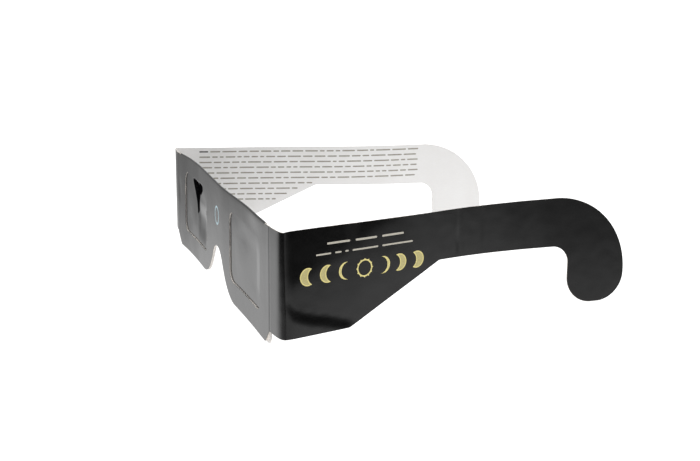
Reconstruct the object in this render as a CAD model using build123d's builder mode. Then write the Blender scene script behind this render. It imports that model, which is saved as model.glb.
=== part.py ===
from build123d import *
import os
from math import cos, radians, sin

# Folding card glasses for watching an eclipse of the sun, in millimetres and degrees.
# One printed card blank makes the front, the strips beside it and the temples.
# A flap of the front folds over its top edge, and two panes of dark film lie between the plies.
# +Z is up, the wearer looks along -Y, and left and right are the wearer's: left is +X.
# The origin is the middle of the bridge, on the front's outer face, level with the eyes.

# Sheet stock
card = 0.4
film = 0.1

# The front, between its two creases
crease_span = 134.0
panel_height = 32.0
foot_drop = 4.6
notch_run = 5.2
flap_corner_radius = 1.2
rear_corner_radius = 3.0
fold_end_gap = 5.2
nick_width = 0.6

# The card left round the eye windows
bridge_width = 36.0
window_side_margin = 11.0
window_top_margin = 5.8
window_low_margin = 2.8
window_radius = 4.0

# The nose notch, whose sides reach the floor that far inside the windows' inner edges
nose_peak_height = 14.8
nose_land = 2.3
nose_peak_radius = 8.6
nose_foot_radius = 18.0

# The panes and the glue
pane_lap = 3.0
pane_clearance = 0.2
glue_inset = 0.5

# The creases: card edges stand clear of the bead that each panel folds about
crease_gap = 0.1
rear_gap = 0.3
strip_width = 9.0
strip_angle = 6.0
temple_angle = 104.3

# A temple, measured from the line that it folds about
temple_length = 127.9
bend_start = 60.0
bend_length = 34.0
bend_angle = 12.8
knee_reach = 23.5
strap_reach = 57.0
strap_height = 16.3
strap_end_height = 15.6
hook_width = 21.4
hook_foot_flat = 2.4
hook_back_flat = 0.6
knee_radius = 3.0
strap_radius = 2.5
hook_throat_radius = 6.0

# Sizes and places that follow
crease_x = crease_span / 2
crease_y = card / 2
crease_setback = card / 2 + crease_gap
window_width = crease_x - window_side_margin - bridge_width / 2
window_height = panel_height - window_top_margin - window_low_margin
eye_x = (bridge_width + window_width) / 2
low_z = -window_low_margin - window_height / 2
floor_z = low_z - foot_drop
top_z = low_z + panel_height
stack = 2 * card + film
fold_z = top_z - stack / 2
fold_end_x = crease_x - fold_end_gap


def ply_outline(plane, edge_points, edge_radii, inset=0, window_margin=0):
    """Sketch one layer of the front; its edge points run from the top centre down one side."""
    opening_width = window_width + 2 * window_margin
    opening_height = window_height + 2 * window_margin
    with BuildSketch(plane) as outline:
        with BuildLine():
            half = FilletPolyline(
                (0, fold_z),
                *edge_points,
                (bridge_width / 2 - nose_land, floor_z),
                (0, low_z + nose_peak_height),
                radius=[*edge_radii, nose_foot_radius],
            )
            Line(half @ 1, half @ 0)
        make_face()
        mirror(about=Plane.YZ)
        middle = outline.vertices().filter_by_position(Axis.X, -card, card)
        fillet(middle.sort_by(Axis.Y)[0], nose_peak_radius)
        if inset:
            offset(amount=-inset, mode=Mode.REPLACE)
        with Locations((-eye_x, 0), (eye_x, 0)):
            RectangleRounded(opening_width, opening_height, window_radius, mode=Mode.SUBTRACT)
    return outline.sketch


def save(builder, label):
    """Name a finished piece and write it."""
    builder.part.label = label
    export_step(builder.part, f"parts/{label}.step")


def save_pair(builder, name):
    """Write a left piece, and the right piece that mirrors it."""
    save(builder, f"left_{name}")
    with BuildPart() as twin:
        mirror(builder.part, about=Plane.YZ)
    save(twin, f"right_{name}")


os.makedirs("parts", exist_ok=True)

# Front ply, whose cut top edge stands level with the fold beyond a nick at each end of it
nick_end_x = fold_end_x + nick_width
panel_end_x = crease_x - crease_setback
front_edge = [
    (nick_end_x, fold_z),
    (nick_end_x, top_z),
    (panel_end_x, top_z),
    (panel_end_x, low_z),
    (crease_x - notch_run, floor_z),
]
front_radii = [0, 0, 0, 0, flap_corner_radius]
with BuildPart() as front_ply:
    extrude(ply_outline(Plane.XZ, front_edge, front_radii), amount=-card)
save(front_ply, "front_ply")

# Rear ply, the flap that lies behind the front ply and ends short of the creases
rear_end_x = crease_x - card / 2 - rear_gap
rear_edge = [(rear_end_x, fold_z), (rear_end_x, floor_z)]
rear_radii = [0, rear_corner_radius]
with BuildPart() as rear_ply:
    extrude(ply_outline(Plane.XZ.offset(-card - film), rear_edge, rear_radii), amount=-card)
save(rear_ply, "rear_ply")

# Top fold, the bent card that joins the two plies
with BuildPart() as top_fold:
    with BuildSketch(Plane.YZ.offset(-fold_end_x)):
        with Locations((stack / 2, fold_z)):
            Circle(stack / 2)
            Circle(film / 2, mode=Mode.SUBTRACT)
            Rectangle(stack, stack, align=(Align.CENTER, Align.MAX), mode=Mode.SUBTRACT)
    extrude(amount=2 * fold_end_x)
save(top_fold, "top_fold")

# Panes of dark film, each wider than its window all round
film_plane = Plane.XZ.offset(-card)
with BuildPart() as left_pane:
    with BuildSketch(film_plane):
        with Locations((eye_x, 0)):
            RectangleRounded(
                window_width + 2 * pane_lap, window_height + 2 * pane_lap, window_radius
            )
    extrude(amount=-film)
save_pair(left_pane, "pane")

# Glue between the plies, set in from their edges and clear of the panes
glue_margin = pane_lap + pane_clearance
with BuildPart() as glue_layer:
    extrude(ply_outline(film_plane, rear_edge, rear_radii, glue_inset, glue_margin), amount=-film)
save(glue_layer, "glue_layer")

# Strips beside the front, each folded about its crease
strip_dir = Vector(cos(radians(strip_angle)), sin(radians(strip_angle)))
strip_plane = Plane(origin=(crease_x, crease_y, low_z), x_dir=strip_dir, z_dir=(0, 0, 1))
with BuildPart() as left_front_crease:
    with BuildSketch(strip_plane):
        Circle(card / 2)
    extrude(amount=panel_height)
save_pair(left_front_crease, "front_crease")

with BuildPart() as left_strip:
    with BuildSketch(strip_plane):
        with Locations((strip_width / 2, 0)):
            Rectangle(strip_width - 2 * crease_setback, card)
    extrude(amount=panel_height)
save_pair(left_strip, "strip")

# Temples, each folded about the strip's far edge
temple_dir = Vector(cos(radians(temple_angle)), sin(radians(temple_angle)))
temple_origin = strip_plane.from_local_coords(Vector(strip_width, 0, 0))
temple_plane = Plane(origin=temple_origin, x_dir=temple_dir, z_dir=(0, 0, 1))
with BuildPart() as left_temple_crease:
    with BuildSketch(temple_plane):
        Circle(card / 2)
    extrude(amount=panel_height)
save_pair(left_temple_crease, "temple_crease")

# A temple: the card runs straight, bends gently outwards and runs straight again
bend_radius = bend_length / radians(bend_angle)
hook_tip_radius = (hook_width - hook_foot_flat) / 2
hook_back_radius = panel_height + foot_drop - hook_tip_radius - hook_back_flat
tail_length = temple_length - bend_start
side_plane = Plane(origin=temple_origin, x_dir=temple_dir, z_dir=temple_dir.cross(Vector(0, 0, 1)))
with BuildPart() as left_temple:
    with BuildSketch(temple_plane.offset(-foot_drop)):
        with BuildLine():
            ends = []
            for side in (card / 2, -card / 2):
                run = Line((crease_setback, side), (bend_start, side))
                turn = CenterArc((bend_start, -bend_radius), bend_radius + side, 90, -bend_angle)
                tail = PolarLine(turn @ 1, tail_length, -bend_angle)
                ends.append((run @ 0, tail @ 1))
            Line(ends[0][0], ends[1][0])
            Line(ends[0][1], ends[1][1])
        make_face()
    extrude(amount=panel_height + foot_drop)
    with BuildSketch(side_plane):
        with BuildLine():
            FilletPolyline(
                (crease_setback, 0),
                (knee_reach, 0),
                (strap_reach, strap_height),
                (temple_length - hook_width, strap_end_height),
                (temple_length - hook_width, -foot_drop),
                (temple_length, -foot_drop),
                (temple_length, panel_height),
                (crease_setback, panel_height),
                radius=[
                    0,
                    knee_radius,
                    strap_radius,
                    hook_throat_radius,
                    hook_tip_radius,
                    hook_tip_radius,
                    hook_back_radius,
                    0,
                ],
                close=True,
            )
        make_face()
    extrude(amount=tail_length, both=True, mode=Mode.INTERSECT)
save_pair(left_temple, "temple")
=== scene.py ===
import math
import random

import bpy
import numpy as np
from mathutils import Matrix, Vector
from mathutils.geometry import delaunay_2d_cdt


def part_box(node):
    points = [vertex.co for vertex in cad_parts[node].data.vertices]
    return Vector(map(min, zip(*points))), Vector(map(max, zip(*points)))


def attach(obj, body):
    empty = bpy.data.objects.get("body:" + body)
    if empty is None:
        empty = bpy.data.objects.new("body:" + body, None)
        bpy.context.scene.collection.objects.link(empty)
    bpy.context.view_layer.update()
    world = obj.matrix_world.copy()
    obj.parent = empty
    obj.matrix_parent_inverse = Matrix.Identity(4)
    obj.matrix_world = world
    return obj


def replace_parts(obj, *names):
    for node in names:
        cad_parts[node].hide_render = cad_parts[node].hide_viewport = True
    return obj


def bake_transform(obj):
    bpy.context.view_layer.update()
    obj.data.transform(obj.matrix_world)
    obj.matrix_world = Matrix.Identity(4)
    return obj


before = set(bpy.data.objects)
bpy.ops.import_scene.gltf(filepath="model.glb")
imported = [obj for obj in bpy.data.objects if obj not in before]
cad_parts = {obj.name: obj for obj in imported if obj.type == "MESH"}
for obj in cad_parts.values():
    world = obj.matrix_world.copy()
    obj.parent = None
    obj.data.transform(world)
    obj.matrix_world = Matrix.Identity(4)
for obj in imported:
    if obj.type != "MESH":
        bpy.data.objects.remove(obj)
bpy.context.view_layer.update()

# Lengths are in millimetres and angles in degrees; meshes are written in metres.
MM = 0.001

# Card, film and ink. The print wraps round a cut edge by a share of the card's thickness.
card = 0.4
film = 0.1
stack = 2 * card + film
edge_round = 0.07
print_wrap = 0.3
ink = 0.02

# The front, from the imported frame
front_low, front_high = (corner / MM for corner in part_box("front_ply"))
pane_low, pane_high = (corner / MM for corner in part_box("left_pane"))
rear_end_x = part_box("rear_ply")[1].x / MM
fold_end_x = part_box("top_fold")[1].x / MM
low_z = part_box("left_strip")[0].z / MM
top_z = front_high.z
floor_z = front_low.z
panel_end_x = front_high.x
crease_gap = 0.3
crease_x = panel_end_x + crease_gap
nick_width = 0.6
notch_run = 5.2
foot_end_x = crease_x - notch_run
notch_slope = (low_z - floor_z) / (panel_end_x - foot_end_x)
flap_corner_radius = 1.2
rear_corner_radius = 3.0

# The fold over the top edge, and where the rear ply starts along the blank
fold_z = top_z - stack / 2
fold_turn = math.pi * (stack - card) / 2
rear_v = fold_z + fold_turn

# Windows and nose notch
pane_lap = 3.0
glue_margin = pane_lap + 0.2
glue_inset = 0.5
window_radius = 4.0
window_low = np.array([pane_low.x + pane_lap, pane_low.z + pane_lap])
window_high = np.array([pane_high.x - pane_lap, pane_high.z - pane_lap])
nose_foot_x = 15.7
nose_peak_z = low_z + 14.8
nose_peak_radius = 8.6
nose_foot_radius = 18.0

# The plan of a side: the strip, the fold and the temple that bends gently outwards
strip_width = 9.0
strip_angle = 6.0
temple_angle = 104.3
bend_start = 60.0
bend_length = 34.0
bend_angle = 12.8
bend_radius = bend_length / math.radians(bend_angle)
fold_lead = 4.5
fold_trail = 1.3

# A temple's outline, measured along the card from the line that it folds about
temple_length = 127.9
knee_reach = 23.5
strap_reach = 57.0
strap_height = 16.3
strap_end_height = 15.6
hook_reach = 106.5
hook_tip_radius = 9.5
hook_back_radius = 26.5
knee_radius = 3.0
strap_radius = 2.5
hook_throat_radius = 6.0

# Where the card is cut into pieces, along the blank from the middle of the bridge
fold_s = crease_x + strip_width
crease_seam = crease_x - 1.0
crease_seam_z = floor_z + (crease_seam - foot_end_x) * notch_slope
strip_seam = crease_x + 4.6
end_s = fold_s + temple_length

SIDES = {"left": 1, "right": -1}


# Outlines in the flat


def rounded(corners, step=0.35):
    """A closed outline with its corners rounded by arcs.
    Its corners are (point, radius), anticlockwise."""
    outline = []
    for i, (point, radius) in enumerate(corners):
        corner = np.array(point, float)
        if radius == 0:
            outline.append(corner)
            continue
        before = np.array(corners[i - 1][0], float) - corner
        after = np.array(corners[(i + 1) % len(corners)][0], float) - corner
        before /= np.linalg.norm(before)
        after /= np.linalg.norm(after)
        half = math.acos(np.clip(before @ after, -1, 1)) / 2
        middle = before + after
        centre = corner + middle / np.linalg.norm(middle) * radius / math.sin(half)
        first = corner + before * radius / math.tan(half) - centre
        last = corner + after * radius / math.tan(half) - centre
        turn = math.atan2(first[0] * last[1] - first[1] * last[0], first @ last)
        arcs = max(3, math.ceil(abs(turn) * radius / step))
        for k in range(arcs + 1):
            c, s = math.cos(turn * k / arcs), math.sin(turn * k / arcs)
            outline.append(centre + (c * first[0] - s * first[1], s * first[0] + c * first[1]))
    return np.array(outline)


def mirrored(half):
    """The same corners on the other side of the middle, in reverse."""
    return [((-x, v), radius) for (x, v), radius in reversed(half)]


def on_side(outline, side):
    """An outline for the +X side, or its mirror image, still anticlockwise."""
    return outline if side > 0 else (outline * [-1, 1])[::-1]


def rectangle(low, high, radius):
    """A rectangle with rounded corners."""
    corners = [(low[0], low[1]), (high[0], low[1]), (high[0], high[1]), (low[0], high[1])]
    return rounded([(corner, radius) for corner in corners])


def circle(centre, radius, count, turn=1):
    """A circle; with turn -1 it runs clockwise, for a hole."""
    angles = np.linspace(0, 2 * math.pi * turn, count, endpoint=False)
    return np.array(centre) + radius * np.stack([np.cos(angles), np.sin(angles)], 1)


def on_rear(z):
    """Where a height of the rear ply lies on the blank, beyond the fold."""
    return rear_v + fold_z - z


def front_outline():
    """The front ply, the fold and the rear ply as one piece of the blank."""
    half = [
        ((nose_foot_x, floor_z), nose_foot_radius),
        ((foot_end_x, floor_z), flap_corner_radius),
        ((crease_seam, crease_seam_z), 0),
        ((crease_seam, top_z), 0),
        ((fold_end_x + nick_width, top_z), 0),
        ((fold_end_x + nick_width, fold_z), 0),
        ((fold_end_x, fold_z), 0),
        ((fold_end_x, rear_v), 0),
        ((rear_end_x, rear_v), 0),
        ((rear_end_x, on_rear(floor_z)), rear_corner_radius),
        ((nose_foot_x, on_rear(floor_z)), nose_foot_radius),
    ]
    peak = ((0, nose_peak_z), nose_peak_radius)
    rear_peak = ((0, on_rear(nose_peak_z)), nose_peak_radius)
    return rounded([peak, *half, rear_peak, *mirrored(half)])


def window_holes(margin=0.0, rear=False):
    """The two eye windows as holes, in the front ply or in the rear ply."""
    low, high = window_low - margin, window_high + margin
    if rear:
        low, high = np.array([low[0], on_rear(high[1])]), np.array([high[0], on_rear(low[1])])
    hole = rectangle(low, high, window_radius)
    return [on_side(hole, side)[::-1] for side in (1, -1)]


def glue_outline():
    """The glue between the plies, set in from the rear ply's edge."""
    inset = glue_inset
    half = [
        ((nose_foot_x + inset / 2, floor_z + inset), nose_foot_radius - inset),
        ((rear_end_x - inset, floor_z + inset), rear_corner_radius - inset),
        ((rear_end_x - inset, fold_z - inset), 0),
    ]
    peak = ((0, nose_peak_z + 2 * inset), nose_peak_radius + inset)
    return rounded([peak, *half, *mirrored(half)])


def crease_outline(side):
    """The card from just before the front crease to the middle of the strip."""
    corners = [
        ((crease_seam, crease_seam_z), 0),
        ((panel_end_x, low_z), 0),
        ((strip_seam, low_z), 0),
        ((strip_seam, top_z), 0),
        ((crease_seam, top_z), 0),
    ]
    return on_side(rounded(corners), side)


def along_card(reach):
    """The distance along the bent card to a point at that reach on the temple's straight line."""
    sweep = math.sin(math.radians(bend_angle))
    on_arc = bend_radius * np.arcsin(np.clip((reach - bend_start) / bend_radius, 0, sweep))
    beyond = np.maximum(reach - bend_start - bend_radius * sweep, 0)
    return np.minimum(reach, bend_start) + on_arc + beyond / math.cos(math.radians(bend_angle))


def temple_outline(side):
    """The rest of the strip, the fold and the temple with its knee, strap and hook."""
    corners = [
        ((strip_seam, low_z), 0),
        ((fold_s + knee_reach, low_z), knee_radius),
        ((fold_s + strap_reach, low_z + strap_height), strap_radius),
        ((fold_s + hook_reach, low_z + strap_end_height), hook_throat_radius),
        ((fold_s + hook_reach, floor_z), hook_tip_radius),
        ((end_s, floor_z), hook_tip_radius),
        ((end_s, top_z), hook_back_radius),
        ((strip_seam, top_z), 0),
    ]
    outline = rounded(corners)
    outline[:, 0] = fold_s + along_card(outline[:, 0] - fold_s)
    return on_side(outline, side)


# How the flat card is bent into space


def smooth(value):
    """A soft step from 0 to 1."""
    value = np.clip(value, 0, 1)
    return value * value * (3 - 2 * value)


def between(value, low, rise, high, fall):
    """1 between two edges and 0 outside them, over soft steps of the widths rise and fall."""
    return smooth((value - low) / rise) * smooth((high - value) / fall)


# The front's bow: how far back it stands along its width, with its corners softened
bow_places = (-70, -66.6, -64, -60, -52, -35, -13, 8, 20, 28, 36, 42, 48, 54, 60, 67, 70)
bow_depths = (0, 0, 0.25, 0.55, 1.4, 1.62, 0.78, 0, 0.2, 0.42, 0.56, 0.58, 0.5, 0.32, 0.14, 0, 0)
bow_reach = 75
bow_step = 0.25
bow_softness = 2.5
kernel_steps = 40
bow_x = np.arange(-bow_reach, bow_reach + bow_step, bow_step)
kernel_x = np.arange(-kernel_steps, kernel_steps + 1) * bow_step
kernel = np.exp(-((kernel_x / bow_softness) ** 2) / 2)
bow_y = np.convolve(np.interp(bow_x, bow_places, bow_depths), kernel / kernel.sum(), "same")

# Its share at the floor, and the width beside a crease over which it ends
bow_foot_share = 0.6
bow_end_width = 2.5

# A soft dent beside the far crease, and the rail over the near window that stands forward a little
hollow_x, hollow_width = -63.6, 2.0
hollow_z, hollow_height = 3.0, 5.0
hollow_depth = 0.22
rail_x, rail_width = 49.0, 8.0
rail_foot, rail_rise = 11.5, 6.0
rail_depth = 0.2


def bow(x, z):
    """How far the front stands back from its flat plane; it is flat again at the creases."""
    height = np.clip((z - floor_z) / (top_z - floor_z), 0, 1)
    share = bow_foot_share + (1 - bow_foot_share) * height
    across, up = (x - hollow_x) / hollow_width, (z - hollow_z) / hollow_height
    hollow = hollow_depth * np.exp(-(across**2) - up**2)
    rail = rail_depth * smooth((z - rail_foot) / rail_rise)
    rail = rail * np.exp(-(((x - rail_x) / rail_width) ** 2))
    depth = (np.interp(x, bow_x, bow_y) + hollow) * share - rail
    return depth * smooth((crease_seam - abs(x)) / bow_end_width)


def place_front(flat, depth):
    """The front ply, the fold over its top edge and the rear ply behind it."""
    x, v = flat[:, 0], flat[:, 1]
    ear = (abs(x) > fold_end_x + nick_width / 2) & (v < (top_z + rear_v) / 2)
    turn = np.where(ear, 0, np.clip((v - fold_z) / fold_turn, 0, 1) * math.pi)
    radius = stack / 2 - depth
    z = np.where(ear, v, np.minimum(v, fold_z) + radius * np.sin(turn) - np.maximum(v - rear_v, 0))
    y = stack / 2 - radius * np.cos(turn)
    return np.stack([x, y + bow(x, z), z], 1)


def place_between(flat, depth):
    """A layer between the plies."""
    x, z = flat[:, 0], flat[:, 1]
    return np.stack([x, card + depth + bow(x, z), z], 1)


# The film's waves inside a window, each (depth, x per radian, z per radian, phase)
waves = ((0.09, 6.1, 9.0, 0.0), (0.05, 3.7, -4.4, 1.0))
wave_rest = 0.1
wave_margin = 7.0


def film_waves(x, z):
    """How far a pane of film stands back from its card, inside its window."""
    gap_x = np.minimum(abs(x) - window_low[0], window_high[0] - abs(x))
    gap_z = np.minimum(z - window_low[1], window_high[1] - z)
    free = smooth(gap_x / wave_margin) * smooth(gap_z / wave_margin)
    depth = sum(size * np.sin(x / run + z / rise + phase) for size, run, rise, phase in waves)
    return free * (depth + wave_rest)


# The far pane's pleats, each (heights, left edges, right edges there)
pleats = (
    (
        (-1.5, 0, 3, 6, 9, 10.8),
        (-37.2, -37.6, -38.9, -41.3, -43.7, -45),
        (-36.4, -34.9, -34.7, -33.6, -34.9, -35.4),
    ),
    ((6, 9, 10.8), (-33.7, -34.9, -35.4), (-33.3, -28.4, -28.2)),
)
pleat_slope = 0.25
pleat_wall = 0.4
pleat_end = 0.8

# Its patch of slack, each way as (start, rise, end, fall)
slack_depth = 0.35
slack_x = (-37, 4, -19.5, 3)
slack_z = (-12.3, 10.8, 4.5, 6)


def buckle(x, z):
    """The far pane's buckle: pleats that widen upwards, steep on one side, and a slack patch.
    A folded temple lies close behind, so the pleats stay shallow."""
    depth = slack_depth * between(x, *slack_x) * between(z, *slack_z)
    for heights, lefts, rights in pleats:
        left, right = np.interp(z, heights, lefts), np.interp(z, heights, rights)
        wall = np.clip((x - left) / pleat_wall, 0, 1)
        groove = np.clip(right - x, 0, right - left - pleat_wall) * wall
        start = np.clip((z - heights[0]) / pleat_end, 0, 1)
        end = np.clip((heights[-1] - z) / pleat_end, 0, 1)
        depth = depth + pleat_slope * groove * (start * end)
    return depth


def place_film(flat, depth):
    """A pane of film: flat where the card holds it, a little wavy in its window."""
    x, z = flat[:, 0], flat[:, 1]
    y = card + depth + bow(x, z) + film_waves(x, z)
    y = y + np.where(x < 0, buckle(x, z), 0)
    return np.stack([x, y, z], 1)


def plan(s):
    """The middle line of the card in plan: its x, y and heading, at distances s along the blank."""
    strip, temple = math.radians(strip_angle), math.radians(temple_angle)
    along = np.clip(s - crease_x, 0, strip_width - fold_lead)
    t = np.clip((s - fold_s + fold_lead) / (fold_lead + fold_trail), 0, 1)
    run = np.clip(s - fold_s - fold_trail, 0, bend_start - fold_trail)
    turn = np.clip((s - fold_s - bend_start) / bend_length, 0, 1) * math.radians(bend_angle)
    tail = np.maximum(s - fold_s - bend_start - bend_length, 0)
    on_strip = along + fold_lead * (2 * t - t * t)
    on_temple = run + fold_trail * t * t
    x = np.minimum(s, crease_x) + on_strip * math.cos(strip) + on_temple * math.cos(temple)
    y = card / 2 + on_strip * math.sin(strip) + on_temple * math.sin(temple)
    x = x + bend_radius * (math.sin(temple) - np.sin(temple - turn)) + tail * np.cos(temple - turn)
    y = y + bend_radius * (np.cos(temple - turn) - math.cos(temple)) + tail * np.sin(temple - turn)
    bend_y = (1 - t) * fold_lead * math.sin(strip) + t * fold_trail * math.sin(temple)
    bend_x = (1 - t) * fold_lead * math.cos(strip) + t * fold_trail * math.cos(temple)
    heading = np.where(s < crease_x, 0, np.arctan2(bend_y, bend_x)) - turn
    return x, y, heading


# The score at a front crease, and a temple's slight outward curve before its bend
score_depth = 0.13
score_width = 0.45
curve_depth = 0.3
curve_length = 75

# Wrinkles across the left temple, each (place along it, slant, share of the depth)
wrinkles = ((64.3, 0.02, 1.0), (66.0, -0.03, 0.5), (69.2, -0.05, 0.6), (73.4, 0.06, 0.9))
wrinkle_depth = 0.085
wrinkle_width = 0.4
wrinkle_middle = 24
wrinkle_foot, wrinkle_rise = 17, 5


def warp(s, z, side):
    """How far the card stands out from its ideal panels, at scores, wrinkles and a slight curve."""
    u, height = s - fold_s, z - low_z
    score = score_depth * np.exp(-(((s - crease_x) / score_width) ** 2))
    curve = curve_depth * np.sin(math.pi * np.clip(u / curve_length, 0, 1)) ** 2
    dips = 0
    for place, slant, share in wrinkles:
        across = (u - place - slant * (height - wrinkle_middle)) / wrinkle_width
        fade = smooth((height - wrinkle_foot) / wrinkle_rise)
        dips = dips + wrinkle_depth * share * np.exp(-(across**2)) * fade
    return curve - score - np.where(side > 0, dips, 0)


# A temple's tilt: in above a pivot near the fold, out along the strap, and in at the hook
lean_slope = 0.026
lean_pivot = 19.0
lean_reach = 38.0
lean_start, lean_rise = -1.2, 5.2
strap_lean = 0.012
strap_blend = 12
strap_lean_end = 80
hook_lean_start = 92

# The curl of its top edge, above a line that rises along the temple
curl_slope = 0.034
curl_band = 7.0
curl_foot = 12.5
curl_foot_slope = 0.47
curl_foot_start = 4
curl_rest = 0.15

# A shallow dent above a line that falls along the temple. It deepens along the temple up to a
# reach, and its span is (start, rise, end, fall).
dent_places = (0, 2, 4, 6, 9, 12, 16, 20, 26)
dent_heights = (10.5, 9, 6.9, 6, 4.8, 4, 3, 1.8, 0)
dent_band = 5.0
dent_depth = 0.16
dent_growth = 0.006
dent_growth_reach = 20
dent_span = (0, 2.5, 28, 7)


def lean(s, z):
    """How far the card of a temple leans in towards the wearer: its tilt, its curl and its dent."""
    u, height = s - fold_s, z - low_z
    near_fold = 1 - smooth(u / lean_reach)
    tilt = lean_slope * (height - lean_pivot) * near_fold
    leaving = smooth((u - lean_reach) / strap_blend)
    remaining = 1 - smooth((u - strap_lean_end) / strap_blend)
    tilt = tilt - strap_lean * height * leaving * remaining
    tilt = tilt + strap_lean * height * smooth((u - hook_lean_start) / strap_blend)
    past = height - (curl_foot + curl_foot_slope * np.maximum(u - curl_foot_start, 0))
    t = np.clip(past / curl_band, 0, 1)
    curl = curl_slope * (curl_band * (t**3 - t**4 / 2) + np.maximum(past - curl_band, 0))
    start = smooth((u - lean_start) / lean_rise)
    above = smooth((height - np.interp(u, dent_places, dent_heights)) / dent_band + 0.5)
    depth = dent_depth + dent_growth * np.clip(u, 0, dent_growth_reach)
    return (tilt + curl - curl_rest * near_fold) * start + above * depth * between(u, *dent_span)


def place_side(flat, depth):
    """The card beyond the front: the strip, the fold and the temple."""
    s, z = flat[:, 0], flat[:, 1]
    side = np.sign(s)
    x, y, heading = plan(abs(s))
    lift = card / 2 - depth + warp(abs(s), z, side)
    x = x - lean(abs(s), z)
    return np.stack([side * (x + np.sin(heading) * lift), y - np.cos(heading) * lift, z], 1)


# Sheets of card, film, glue and ink


def split_edges(outline, s_lines, z_lines, least=0.02):
    """The outline with a point wherever it crosses a line of the mesh."""
    refined = []
    for a, b in zip(outline, np.roll(outline, -1, 0)):
        length = np.linalg.norm(b - a)
        cuts = []
        for axis, places in ((0, s_lines), (1, z_lines)):
            if abs(b[axis] - a[axis]) > 1e-9:
                cuts.extend((places - a[axis]) / (b[axis] - a[axis]))
        refined.append(a)
        last = 0.0
        for t in sorted(cuts):
            if (t - last) * length > least and (1 - t) * length > least:
                refined.append(a + (b - a) * t)
                last = t
    return np.array(refined)


def on_seam(a, b, seams):
    """Whether an edge of the outline lies on a seam between two pieces of the same card."""
    return any(abs(a[0] - seam) < 1e-6 and abs(b[0] - seam) < 1e-6 for seam in seams)


def inward_moves(outline, seams):
    """For each point, the move that shifts the edges beside it inwards by one unit.
    An edge on a seam stays."""
    following = np.roll(outline, -1, 0)
    edges = following - outline
    edges /= np.linalg.norm(edges, axis=1)[:, None]
    normals = np.stack([-edges[:, 1], edges[:, 0]], 1)
    speeds = [0.0 if on_seam(a, b, seams) else 1.0 for a, b in zip(outline, following)]
    moves = []
    for i, normal in enumerate(normals):
        pair, pace = np.array([normals[i - 1], normal]), np.array([speeds[i - 1], speeds[i]])
        straight = pair[0] @ pair[1] > 0.999
        moves.append(pace @ pair / 2 if straight else np.linalg.solve(pair, pace))
    return np.array(moves)


def inside(points, loops):
    """Whether each point lies within the loops, by counting crossings."""
    found = np.zeros(len(points), bool)
    for loop in loops:
        for p, q in zip(loop, np.roll(loop, -1, 0)):
            if p[1] != q[1]:
                crosses = (p[1] > points[:, 1]) != (q[1] > points[:, 1])
                at = p[0] + (points[:, 1] - p[1]) / (q[1] - p[1]) * (q[0] - p[0])
                found ^= crosses & (points[:, 0] < at)
    return found


def edge_distances(points, loops, seams=(), farthest=100.0):
    """How far each point lies from the nearest cut edge."""
    nearest = np.full(len(points), farthest)
    for loop in loops:
        for p, q in zip(loop, np.roll(loop, -1, 0)):
            if not on_seam(p, q, seams):
                along = q - p
                t = np.clip((points - p) @ along / (along @ along), 0, 1)
                distances = np.linalg.norm(points - p - t[:, None] * along, axis=1)
                nearest = np.minimum(nearest, distances)
    return nearest


def fill(loops, s_lines, z_lines, clear_share=0.35):
    """Triangles that fill the loops, with points on the crossings of the lines.
    Returns the points, the triangles and, for each loop, its points' numbers."""
    grid = np.array([(s, z) for s in s_lines for z in z_lines])
    clear = clear_share * min(np.diff(s_lines).min(), np.diff(z_lines).min())
    grid = grid[inside(grid, loops) & (edge_distances(grid, loops) > clear)]
    starts = np.cumsum([0] + [len(loop) for loop in loops])
    spans = list(zip(starts, starts[1:]))
    edges = [(a + i, a + (i + 1) % (b - a)) for a, b in spans for i in range(b - a)]
    given = [Vector(p) for p in np.concatenate([*loops, grid])]
    points, _, faces, origins, _, _ = delaunay_2d_cdt(given, edges, [], 0, 1e-6)
    points, faces = np.array([tuple(p) for p in points]), np.array(faces)
    faces = faces[inside(points[faces].mean(1), loops)]
    number = {origin: k for k, group in enumerate(origins) for origin in group}
    return points, faces, [[number[i] for i in range(a, b)] for a, b in spans]


def slopes(place, flat, depth, step=0.02):
    """The directions in which the sheet runs, along and up the blank, and its normal."""
    s, z = np.array([step, 0.0]), np.array([0.0, step])
    along = place(flat + s, depth) - place(flat - s, depth)
    up = place(flat + z, depth) - place(flat - z, depth)
    across = np.cross(along, up)
    return along, up, across / np.linalg.norm(across, axis=1)[:, None]


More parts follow.
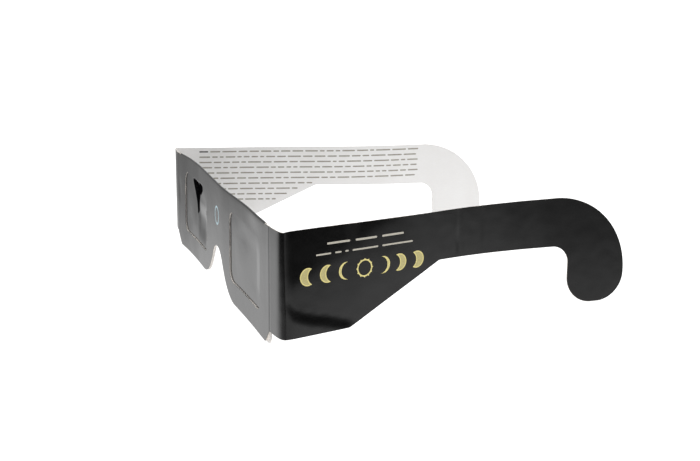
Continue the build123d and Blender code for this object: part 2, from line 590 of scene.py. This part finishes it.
def sheet(
    name, loops, place, s_lines, z_lines, materials,
    thickness=card, seams=(), rounding=edge_round, shift=0.0,
):
    """A closed sheet. loops are its outline and holes in the flat, and place bends it into space.
    Its materials are for the outer side, the inner side and the cut edge, whose corners are
    rounded. Its outer side lies that shift behind the one that place is for."""
    loops = [split_edges(loop, s_lines, z_lines) for loop in loops]
    moves = [inward_moves(loop, seams) for loop in loops]
    inset = [loop + move * rounding for loop, move in zip(loops, moves)]
    points, faces, rims = fill(inset, s_lines, z_lines)
    count = len(points)

    # Each row of a rounded rim: its inset, its depth, and its normal's shares of the face's
    # and the edge's
    diagonal = math.sqrt(0.5)
    corner = rounding * (1 - diagonal)
    rows, row_slots = [], [2]
    if rounding:
        rows = [
            (corner, corner, diagonal, diagonal),
            (0, rounding, 0, 1),
            (0, thickness * print_wrap, 0, 1),
            (0, thickness - rounding, 0, 1),
            (corner, thickness - corner, -diagonal, diagonal),
        ]
        row_slots = [0, 0, 0, 2, 2, 1]

    flats = [points, points]
    depths = [np.full(count, shift), np.full(count, shift + thickness)]
    shares = [np.tile([1.0, 0.0], (count, 1)), np.tile([-1.0, 0.0], (count, 1))]
    outs = [np.zeros((count, 2))] * 2
    polygons = [tuple(face) for face in faces] + [tuple(face[::-1] + count) for face in faces]
    slots = [0] * len(faces) + [1] * len(faces)
    total = 2 * count
    for loop, move, rim in zip(loops, moves, rims):
        size = len(loop)
        rings = [rim]
        for offset, depth, face_share, edge_share in rows:
            flats.append(loop + move * offset)
            depths.append(np.full(size, shift + depth))
            shares.append(np.tile([face_share, edge_share], (size, 1)))
            outs.append(-move)
            rings.append(range(total, total + size))
            total += size
        rings.append([k + count for k in rim])
        for upper, lower, slot in zip(rings, rings[1:], row_slots):
            for i in range(size):
                j = (i + 1) % size
                polygons.append((upper[i], lower[i], lower[j], upper[j]))
                slots.append(slot)

    flat, depth = np.concatenate(flats), np.concatenate(depths)
    share, out = np.concatenate(shares), np.concatenate(outs)
    along, up, across = slopes(place, flat, depth)
    outward = along * out[:, :1] + up * out[:, 1:]
    outward /= np.maximum(np.linalg.norm(outward, axis=1), 1e-9)[:, None]
    normals = across * share[:, :1] + outward * share[:, 1:]

    mesh = bpy.data.meshes.new(name)
    mesh.from_pydata((place(flat, depth) * MM).tolist(), [], polygons)
    mesh.polygons.foreach_set("material_index", slots)
    mesh.polygons.foreach_set("use_smooth", [True] * len(polygons))
    for material in materials:
        mesh.materials.append(material)
    corners = np.zeros(len(mesh.loops), int)
    mesh.loops.foreach_get("vertex_index", corners)
    blank = mesh.uv_layers.new(name="blank")
    blank.uv.foreach_set("vector", (flat[corners] * MM).astype(np.float32).ravel())
    edge = mesh.attributes.new("edge_distance", "FLOAT", "POINT")
    edge.data.foreach_set("value", edge_distances(flat, loops, seams).astype(np.float32))
    mesh.normals_split_custom_set_from_vertices(normals.tolist())
    piece = bpy.data.objects.new(name, mesh)
    bpy.context.scene.collection.objects.link(piece)
    return piece


def lines(*stretches):
    """Mesh lines over stretches that follow each other, each (start, end, spacing)."""
    found = [np.linspace(a, b, max(1, round(abs(b - a) / step)) + 1) for a, b, step in stretches]
    return np.unique(np.round(np.concatenate(found), 6))


# Materials


class Nodes:
    """Adds nodes to a node tree and joins them up."""

    def __init__(self, tree):
        self.tree = tree

    def add(self, kind, operation=None, **inputs):
        """A new node, with its inputs set to values or joined to other nodes."""
        node = self.tree.nodes.new(kind)
        if operation:
            node.operation = operation
        for name, value in inputs.items():
            self.set(node.inputs[name], value)
        return node

    def set(self, socket, value):
        if isinstance(value, bpy.types.NodeSocket):
            self.tree.links.new(value, socket)
        else:
            socket.default_value = value

    def maths(self, operation, *values):
        """What an operation makes of its values."""
        node = self.add("ShaderNodeMath", operation)
        for socket, value in zip(node.inputs, values):
            self.set(socket, value)
        return node.outputs[0]

    def product(self, first, *others):
        """The product of two values or more."""
        for value in others:
            first = self.maths("MULTIPLY", first, value)
        return first

    def ranged(self, value, low, high, to_low, to_high, soft=False):
        """A value stretched from one range to another, and held within it."""
        node = self.add("ShaderNodeMapRange")
        if soft:
            node.interpolation_type = "SMOOTHSTEP"
        for socket, number in zip(node.inputs, (value, low, high, to_low, to_high)):
            self.set(socket, number)
        return node.outputs["Result"]


class Finish(Nodes):
    """A node material on the flat coordinates of the blank."""

    def __init__(self, name, ior=1.5):
        self.material = bpy.data.materials.new(name)
        self.material.use_nodes = True
        super().__init__(self.material.node_tree)
        self.shader = self.tree.nodes["Principled BSDF"]
        self.shader.inputs["IOR"].default_value = ior
        blank = self.add("ShaderNodeUVMap")
        blank.uv_map = "blank"
        self.blank = blank.outputs["UV"]

    def scaled(self, factors):
        """The coordinates of the blank, each times its factor."""
        return self.add("ShaderNodeMapping", Vector=self.blank, Scale=factors).outputs["Vector"]

    def noise(self, size, detail, vector=None, roughness=0.55):
        """Cloudy noise whose patches are about that many millimetres across."""
        vector, scale = vector or self.blank, 1 / (size * MM)
        return self.add(
            "ShaderNodeTexNoise", Vector=vector, Scale=scale, Detail=detail, Roughness=roughness
        ).outputs["Fac"]

    def cloud(self, size, detail, low=0.3, high=0.7, vector=None):
        """Noise stretched to run from 0 to 1."""
        return self.ranged(self.noise(size, detail, vector), low, high, 0, 1)

    def blend(self, share, a, b):
        """A mix of two colours."""
        node = self.add("ShaderNodeMix")
        node.data_type = "RGBA"
        for name, value in (("Factor_Float", share), ("A_Color", a), ("B_Color", b)):
            self.set(next(socket for socket in node.inputs if socket.identifier == name), value)
        return next(socket for socket in node.outputs if socket.identifier == "Result_Color")

    def edge(self):
        """The distance from the nearest cut edge, in millimetres."""
        node = self.add("ShaderNodeAttribute")
        node.attribute_name = "edge_distance"
        return node.outputs["Fac"]

    def bump(self, *heights):
        """Bumps, each (height from 0 to 1, depth in millimetres)."""
        normal = None
        for height, depth in heights:
            node = self.add("ShaderNodeBump", Height=height, Distance=depth * MM)
            if normal is not None:
                self.set(node.inputs["Normal"], normal)
            normal = node.outputs["Normal"]
        self.set(self.shader.inputs["Normal"], normal)

    def colour(self, value):
        self.set(self.shader.inputs["Base Color"], value)

    def roughness(self, value, low, high):
        """Roughness that runs from low to high as a value runs from 0 to 1."""
        self.set(self.shader.inputs["Roughness"], self.ranged(value, 0, 1, low, high))


def grey(value, warmth=0.0):
    """A grey, with its red raised and its blue lowered by a share."""
    return (value * (1 + warmth), value, value * (1 - warmth), 1)


# Colours: two shades for each finish that is cloudy, and one for what shows in specks
print_shades = (grey(0.001), grey(0.0032))
rubbed_shade = grey(0.55, 0.12)
white_shades = (grey(0.86, 0.008), grey(0.82, 0.014))
fibre_shade = grey(0.78, 0.02)
core_shades = (grey(0.68, 0.05), grey(0.5, 0.07))
film_shades = ((0.0018, 0.0019, 0.0022, 1), (0.0035, 0.0037, 0.0046, 1))
dust_shade = grey(0.05)
glue_shades = (grey(0.8, 0.06), grey(0.7, 0.09))
floor_shades = (grey(0.50), grey(0.48))

# How glossy and how dull each finish gets
print_roughness = (0.12, 0.2)
white_roughness = (0.62, 0.8)
core_roughness = (0.75, 0.9)
film_roughness = (0.06, 0.12)
glue_roughness = (0.45, 0.65)
ink_roughness = (0.22, 0.34)
floor_roughness = (0.85, 0.95)

# The index of refraction of card without a coat
bare_ior = 1.4

# How far from the edge the print is rubbed off at most, and the share of its fine smears
widest_wear = 0.2
fine_smears = 0.3

# The white side's fibres: the factors that draw them out along the blank, and how much they show
fibre_stretch = (0.35, 1, 1)
fibre_share = 0.25

# The ink's darkest and lightest grain, and how softly its rim ends
ink_grain = (0.82, 1.12)
rim_softness = 0.3


def printed_black():
    """Black print under a gloss coat, rubbed off to the pale core in specks along the cut edges."""
    f = Finish("printed_black")
    mottle = f.blend(f.cloud(size=0.5, detail=4), *print_shades)
    reach = f.ranged(f.noise(size=18, detail=2), 0.5, 0.75, 0.0, widest_wear)
    rubbed = f.maths("LESS_THAN", f.edge(), f.product(f.noise(size=0.45, detail=3), reach))
    f.colour(f.blend(rubbed, mottle, rubbed_shade))
    broad = f.cloud(size=18, detail=5, low=0.35)
    fine = f.product(f.cloud(size=0.8, detail=4), fine_smears)
    f.roughness(f.maths("MULTIPLY_ADD", broad, 1 - fine_smears, fine), *print_roughness)
    f.bump((f.noise(size=14, detail=2), 0.1), (f.noise(size=0.6, detail=4), 0.006))
    return f.material


def bare_white():
    """The card's uncoated white side, with short fibres and a faint cloudiness."""
    f = Finish("bare_white", bare_ior)
    fibres = f.cloud(size=0.5, detail=5, low=0.35, high=0.65, vector=f.scaled(fibre_stretch))
    base = f.blend(f.cloud(size=9, detail=4), *white_shades)
    f.colour(f.blend(f.product(fibres, fibre_share), base, fibre_shade))
    f.roughness(fibres, *white_roughness)
    f.bump((fibres, 0.004), (f.noise(size=3, detail=2), 0.006))
    return f.material


def cut_card():
    """The card's cream core, with the fine layers that the die lays bare."""
    f = Finish("cut_card", bare_ior)
    layers = f.cloud(size=0.3, detail=5, low=0.35, high=0.65)
    f.colour(f.blend(layers, *core_shades))
    f.roughness(layers, *core_roughness)
    f.bump((layers, 0.01))
    return f.material


def dark_film():
    """Nearly opaque black film with a smooth gloss, faint ripples and a little dust."""
    f = Finish("dark_film")
    haze = f.cloud(size=10, detail=3, low=0.35)
    dust = f.cloud(size=0.25, detail=2, low=0.72, high=0.78)
    f.colour(f.blend(dust, f.blend(haze, *film_shades), dust_shade))
    f.roughness(haze, *film_roughness)
    f.bump((f.noise(size=5, detail=2), 0.04), (f.noise(size=1.2, detail=3), 0.003))
    return f.material


def dry_glue():
    """Dried adhesive, faintly cloudy."""
    f = Finish("dry_glue")
    cloud = f.cloud(size=2, detail=4)
    f.colour(f.blend(cloud, *glue_shades))
    f.roughness(cloud, *glue_roughness)
    f.bump((cloud, 0.01))
    return f.material


def print_ink(name, middle, rim, rim_width):
    """Ink under the coat, in one colour with a rim of another."""
    f = Finish(name)
    rim_start, rim_end = rim_width * (1 - rim_softness), rim_width * (1 + rim_softness)
    tint = f.blend(f.ranged(f.edge(), rim_start, rim_end, 1, 0), middle, rim)
    grain = f.ranged(f.noise(size=0.3, detail=4), 0.3, 0.7, *ink_grain)
    shade = f.add("ShaderNodeVectorMath", "SCALE", Vector=tint, Scale=grain)
    f.colour(shade.outputs["Vector"])
    f.roughness(f.cloud(size=1.5, detail=3), *ink_roughness)
    f.bump((f.noise(size=0.7, detail=4), 0.002))
    return f.material


card_finishes = (printed_black(), bare_white(), cut_card())
film_finishes = (dark_film(),) * 3
glue_finishes = (dry_glue(),) * 3
gold = print_ink("gold_ink", (0.50, 0.44, 0.19, 1), (0.78, 0.68, 0.26, 1), 0.3)
blue = print_ink("pale_blue_ink", (0.40, 0.58, 0.64, 1), (0.34, 0.52, 0.60, 1), 0.1)
cream = print_ink("cream_ink", (0.55, 0.52, 0.45, 1), (0.50, 0.47, 0.40, 1), 0.1)
dark_grey = print_ink("dark_grey_ink", (0.05, 0.048, 0.045, 1), (0.07, 0.068, 0.064, 1), 0.1)
brown_grey = print_ink("brown_grey_ink", (0.30, 0.28, 0.23, 1), (0.36, 0.34, 0.29, 1), 0.1)


# The pieces of the object

# Spacings of the mesh lines, and where the fine ones stop beyond a crease and a fold
mesh_step = 1.2
top_fold_step = 0.1
pane_step = 0.5
pleat_stretch = (-46, -33, 0.2)
strip_step = 0.5
fold_step = 0.13
fold_fine_end = fold_s + fold_trail + 0.2
crease_step = 0.15
crease_fine_end = crease_x + 1.2


def make_front():
    """The front with its rear ply, the glue and the two panes of film."""
    s_lines = lines((-crease_seam, crease_seam, mesh_step))
    z_lines = lines((floor_z, fold_z, mesh_step))
    v_lines = lines(
        (floor_z, fold_z, mesh_step),
        (fold_z, rear_v, top_fold_step),
        (rear_v, on_rear(floor_z), mesh_step),
    )
    loops = [front_outline(), *window_holes(), *window_holes(rear=True)]
    cover = sheet(
        "front_cover", loops, place_front, s_lines, v_lines, card_finishes,
        seams=(crease_seam, -crease_seam),
    )
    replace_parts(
        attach(cover, "front"), "front_ply", "top_fold", "rear_ply"
    )

    loops = [glue_outline(), *window_holes(glue_margin)]
    glue = sheet(
        "glue_sheet", loops, place_between, s_lines, z_lines, glue_finishes, film, rounding=0
    )
    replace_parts(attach(glue, "front"), "glue_layer")

    for name, side in SIDES.items():
        pane = rectangle(window_low - pane_lap, window_high + pane_lap, window_radius)
        pane = on_side(pane, side)
        s_lines = lines((pane[:, 0].min(), pane[:, 0].max(), pane_step))
        if side < 0:
            s_lines = np.union1d(s_lines, lines(pleat_stretch))
        z_lines = lines((pane[:, 1].min(), pane[:, 1].max(), pane_step))
        piece = sheet(
            f"{name}_film", [pane], place_film, s_lines, z_lines, film_finishes, film, rounding=0
        )
        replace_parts(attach(piece, "front"), f"{name}_pane")


def make_side(name, side):
    """The card of one side, as two pieces that meet on the strip."""
    low, high = sorted((side * crease_seam, side * strip_seam))
    fine_low, fine_high = sorted((side * crease_seam, side * crease_fine_end))
    s_lines = lines((low, high, mesh_step), (fine_low, fine_high, crease_step))
    z_lines = lines((floor_z, top_z, mesh_step))
    crease = sheet(
        f"{name}_crease_card", [crease_outline(side)], place_side, s_lines, z_lines,
        card_finishes, seams=(side * crease_seam, side * strip_seam),
    )
    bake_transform(crease)
    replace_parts(crease, f"{name}_front_crease", f"{name}_strip")

    stretches = (
        (strip_seam, fold_s - fold_lead, strip_step),
        (fold_s - fold_lead, fold_fine_end, fold_step),
        (fold_fine_end, fold_s + along_card(temple_length), mesh_step),
    )
    s_lines = lines(*[(side * a, side * b, step) for a, b, step in stretches])
    temple = sheet(
        f"{name}_temple_card", [temple_outline(side)], place_side, s_lines, z_lines,
        card_finishes, seams=(side * strip_seam,),
    )
    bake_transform(temple)
    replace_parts(temple, f"{name}_temple_crease", f"{name}_temple")


# Prints: the stages of an eclipse, each (place, how far right the moon lies), and totality
disc_radius = 2.7
phase_height = 17.85
phase_row = ((8.8, 2.7), (15.6, 2.15), (22.2, 0.9), (35.2, -0.95), (41.3, -2.3), (48.0, -2.9))
corona_place = 28.6

# Rows of plain bars on the outside, each (height of the middle, bar height, (start, length)s)
outer_rows = (
    (26.9, 0.62, ((15.4, 8.0), (25.3, 7.6), (34.8, 8.0))),
    (23.9, 0.5, ((11.6, 5.2), (18.2, 2.2), (21.7, 1.2), (24.2, 9.2), (34.9, 11.4))),
)
bar_corner_share = 0.49

# The block of bars on the inside: where each row ends, and the rows that start with a darker bar
block_start = 9.5
block_top = 30.3
block_pitch = 2.2
block_height = 0.55
block_ends = (100.1, 99.2, 100.0, 99.6, 100.1, 98.9, 55.5, 49.5, 45, 40.5)
block_heads = (0, 5)
block_seed = 11

# The ring on the bridge
ring_centre = (0, 6.2)
ring_radii = (3.35, 2.65)
ring_points = 96

# Mesh lines of the prints: their spacing, and stretches that reach past the block and the ring
print_step = 0.4
print_margin = 5
block_stretch = (-fold_s - 104, -fold_s - print_margin, mesh_step)
ring_stretches = ((-4, 4, print_step), (0, 12, print_step))


def crescent(centre, bite, outer_count=40, inner_count=30):
    """What a disc shows when one of its size lies over it, bite to its right or to its left."""
    horn = math.acos(abs(bite) / 2 / disc_radius)
    outer = np.linspace(horn, 2 * math.pi - horn, outer_count)
    inner = np.linspace(math.pi + horn, math.pi - horn, inner_count)[1:-1]
    sun = disc_radius * np.stack([np.cos(outer), np.sin(outer)], 1)
    moon = disc_radius * np.stack([np.cos(inner), np.sin(inner)], 1) + [abs(bite), 0]
    shape = np.concatenate([sun, moon])
    if bite < 0:
        shape = (shape * [-1, 1])[::-1]
    return shape + np.array(centre)


def corona(centre, rays=12, ray_points=8, ray_length=0.35, band=0.42, inner_count=72):
    """A thin ring with short rays, for totality."""
    count = rays * ray_points
    outer = []
    for k in range(count):
        angle = 2 * math.pi * k / count
        radius = disc_radius + ray_length * max(0.0, math.cos(angle * rays)) ** 3
        outer.append((radius * math.cos(angle), radius * math.sin(angle)))
    inner = circle(centre, disc_radius - band, inner_count, -1)
    return [np.array(outer) + np.array(centre), inner]


def bar(start, middle, length, height):
    """A plain bar with round ends."""
    low, high = (start, middle - height / 2), (start + length, middle + height / 2)
    return rectangle(low, high, height * bar_corner_share)


def bar_row(draw, start, end, middle, height, shortest=1.6, longest=6.5, gap=0.8):
    """A row of plain bars of drawn lengths that fills its width."""
    lengths = []
    while sum(lengths) + gap * (len(lengths) - 1) < end - start:
        lengths.append(draw.uniform(shortest, longest))
    share = (end - start - gap * (len(lengths) - 1)) / sum(lengths)
    row = []
    for length in lengths:
        row.append(bar(start, middle, length * share, height))
        start += length * share + gap
    return row


def inked(name, loops, place, s_lines, z_lines, finish, shift=-ink / 2):
    """A print, half sunk in the card's outer side or at another depth."""
    return sheet(
        name, loops, place, s_lines, z_lines, (finish,) * 3, ink, rounding=0, shift=shift
    )


def make_prints():
    """The prints on the temples and the ring on the bridge."""
    temple_lines = lines((fold_s, fold_s + bend_start, print_step))
    height_lines = lines((low_z, top_z, print_step))
    loops = [crescent((fold_s + u, low_z + phase_height), bite) for u, bite in phase_row]
    loops += corona((fold_s + corona_place, low_z + phase_height))
    phases = inked("eclipse_phases", loops, place_side, temple_lines, height_lines, gold)
    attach(phases, "left_temple")

    # No line needs to cross anything as low as a bar, so these two lie above and below the card
    temple_lines = lines((fold_s, fold_s + bend_start, mesh_step))
    height_lines = np.array([low_z - print_margin, top_z + print_margin])
    loops = []
    for middle, height, bars in outer_rows:
        loops += [bar(fold_s + u, low_z + middle, length, height) for u, length in bars]
    strokes = inked("temple_bars", loops, place_side, temple_lines, height_lines, cream)
    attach(strokes, "left_temple")

    draw = random.Random(block_seed)
    heads, body = [], []
    for k, last in enumerate(block_ends):
        middle = low_z + block_top - block_pitch * k
        row = bar_row(draw, block_start, last, middle, block_height)
        row = [on_side(loop + [fold_s, 0], -1) for loop in row]
        if k in block_heads:
            heads.append(row.pop(0))
        body += row
    block_lines = lines(block_stretch)
    inner_side = card - ink / 2
    for name, loops, shade in (("inner_bars", body, brown_grey), ("inner_heads", heads, dark_grey)):
        note = inked(name, loops, place_side, block_lines, height_lines, shade, inner_side)
        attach(note, "right_temple")

    outer, inner = ring_radii
    ring = [
        circle(ring_centre, outer, ring_points), circle(ring_centre, inner, ring_points, -1)
    ]
    s_lines, z_lines = (lines(stretch) for stretch in ring_stretches)
    mark = inked("bridge_ring", ring, place_front, s_lines, z_lines, blue)
    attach(mark, "front")


make_front()
for side_name, side_sign in SIDES.items():
    make_side(side_name, side_sign)
make_prints()


# Studio: a pale floor, surroundings, a soft lamp and the camera

floor_glow = 0.8
floor_reach = 6000
floor_gap = 0.02

# The surroundings as other rays than the camera's and glossy ones find them
ambient = 0.5

# What glossy rays find: ramps over the elevation or the azimuth, as (start, end, value at the
# start, value at the end). First the light, with a patch that is brighter than the rest.
below_light = (-15.5, -10.5, 1.0, 0.45)
above_light = (20, 60, 0.45, 1.0)
base_light = (30, 45, 0.95, 1.1)
patch_start = (-167, -150, 0, 0.5)
patch_end = (-115, -95, 1, 0)

# The dark side of the room, and the part beyond it that is half dark and then quite dark
room_foot = (-18.3, -16.0, 0, 1)
room_start = (-143, -124, 0, 1)
room_end = (18, 27, 1, 0)
beyond_foot = (-16.3, -11.0, 0, 1)
beyond_start = (18, 27, 0, 0.5)
beyond_full = (35, 43, 1, 2)
beyond_end = (75, 100, 1, 0)
dark_top = (72, 85, 1, 0)
dark_share = 0.99

# A lamp like the sun, with an angle that makes it soft
lamp_strength = 2.6
lamp_angle = 30

# The camera, fitted to edges of the photograph
camera_angles = (70.18, 13.64, 0.64)
camera_place = (380.501, -87.996, 95.428)
focal_length = 59.33
sensor_width = 36.0


def pale_floor():
    """A pale table top, lit a little from within."""
    f = Finish("pale_floor")
    place = f.add("ShaderNodeTexCoord").outputs["Object"]
    cloud = f.cloud(size=60, detail=3, vector=place)
    f.colour(f.blend(cloud, *floor_shades))
    f.shader.inputs["Emission Color"].default_value = grey(1.0)
    f.shader.inputs["Emission Strength"].default_value = floor_glow
    f.roughness(cloud, *floor_roughness)
    return f.material


def make_floor():
    """A wide floor that the gloss doesn't mirror: the surroundings' lower half does that part."""
    half, height = floor_reach * MM, (floor_z - floor_gap) * MM
    corners = [(x * half, y * half, height) for x, y in ((-1, -1), (1, -1), (1, 1), (-1, 1))]
    mesh = bpy.data.meshes.new("floor")
    mesh.from_pydata(corners, [], [(0, 1, 2, 3)])
    mesh.materials.append(pale_floor())
    floor = bpy.data.objects.new("floor", mesh)
    floor.visible_glossy = False
    bpy.context.scene.collection.objects.link(floor)


def make_surroundings():
    """Even pale light, in place of which glossy rays find a graded room: bright below and above,
    dimmer at the horizon, and dark on one side."""
    world = bpy.data.worlds.new("surroundings")
    bpy.context.scene.world = world
    world.use_nodes = True
    n = Nodes(world.node_tree)
    direction = n.add("ShaderNodeTexCoord").outputs["Generated"]
    parts = n.add("ShaderNodeSeparateXYZ", Vector=direction).outputs
    azimuth = n.maths("DEGREES", n.maths("ARCTAN2", parts["Y"], parts["X"]))
    elevation = n.maths("DEGREES", n.maths("ARCSINE", parts["Z"]))

    def over(value, *ramps):
        return n.product(*[n.ranged(value, *ramp) for ramp in ramps])

    below = n.ranged(elevation, *below_light, soft=True)
    above = n.ranged(elevation, *above_light, soft=True)
    level = n.maths("ADD", over(azimuth, patch_start, patch_end), over(azimuth, base_light))
    light = n.product(n.maths("MAXIMUM", below, above), level)
    beyond = n.product(
        over(elevation, beyond_foot), over(azimuth, beyond_start, beyond_end, beyond_full)
    )
    room = n.product(
        over(azimuth, room_start), over(elevation, room_foot), over(azimuth, room_end)
    )
    dark = n.product(n.maths("MAXIMUM", beyond, room), over(elevation, dark_top))
    graded = n.product(light, n.maths("MULTIPLY_ADD", dark, -dark_share, 1))
    ray = n.add("ShaderNodeLightPath").outputs
    plain = n.ranged(ray["Is Camera Ray"], 0, 1, ambient, 1.0)
    strength = n.ranged(ray["Is Glossy Ray"], 0, 1, plain, graded)
    background = world.node_tree.nodes["Background"]
    background.inputs["Color"].default_value = grey(1)
    n.set(background.inputs["Strength"], strength)


def make_lamp():
    """A soft lamp straight above."""
    lamp = bpy.data.lights.new("overhead", "SUN")
    lamp.energy, lamp.angle = lamp_strength, math.radians(lamp_angle)
    light = bpy.data.objects.new("overhead", lamp)
    light.location = (0, 0, 1)
    bpy.context.scene.collection.objects.link(light)


def make_camera():
    """The camera, where the photograph was taken from."""
    azimuth, elevation, roll = (math.radians(angle) for angle in camera_angles)
    level = math.cos(elevation)
    back = Vector((math.sin(azimuth) * level, -math.cos(azimuth) * level, math.sin(elevation)))
    right = Vector((math.cos(azimuth), math.sin(azimuth), 0))
    up = back.cross(right)
    rolled_right = right * math.cos(roll) + up * math.sin(roll)
    rolled_up = up * math.cos(roll) - right * math.sin(roll)
    turn = Matrix((rolled_right, rolled_up, back)).transposed().to_4x4()
    lens = bpy.data.cameras.new("camera")
    lens.lens, lens.sensor_width = focal_length, sensor_width
    lens.clip_start, lens.clip_end = 0.01, 20
    camera = bpy.data.objects.new("camera", lens)
    camera.matrix_world = Matrix.Translation(Vector(camera_place) * MM) @ turn
    bpy.context.scene.collection.objects.link(camera)
    bpy.context.scene.camera = camera


make_floor()
make_surroundings()
make_lamp()
make_camera()
bpy.context.scene.view_settings.view_transform = "Standard"
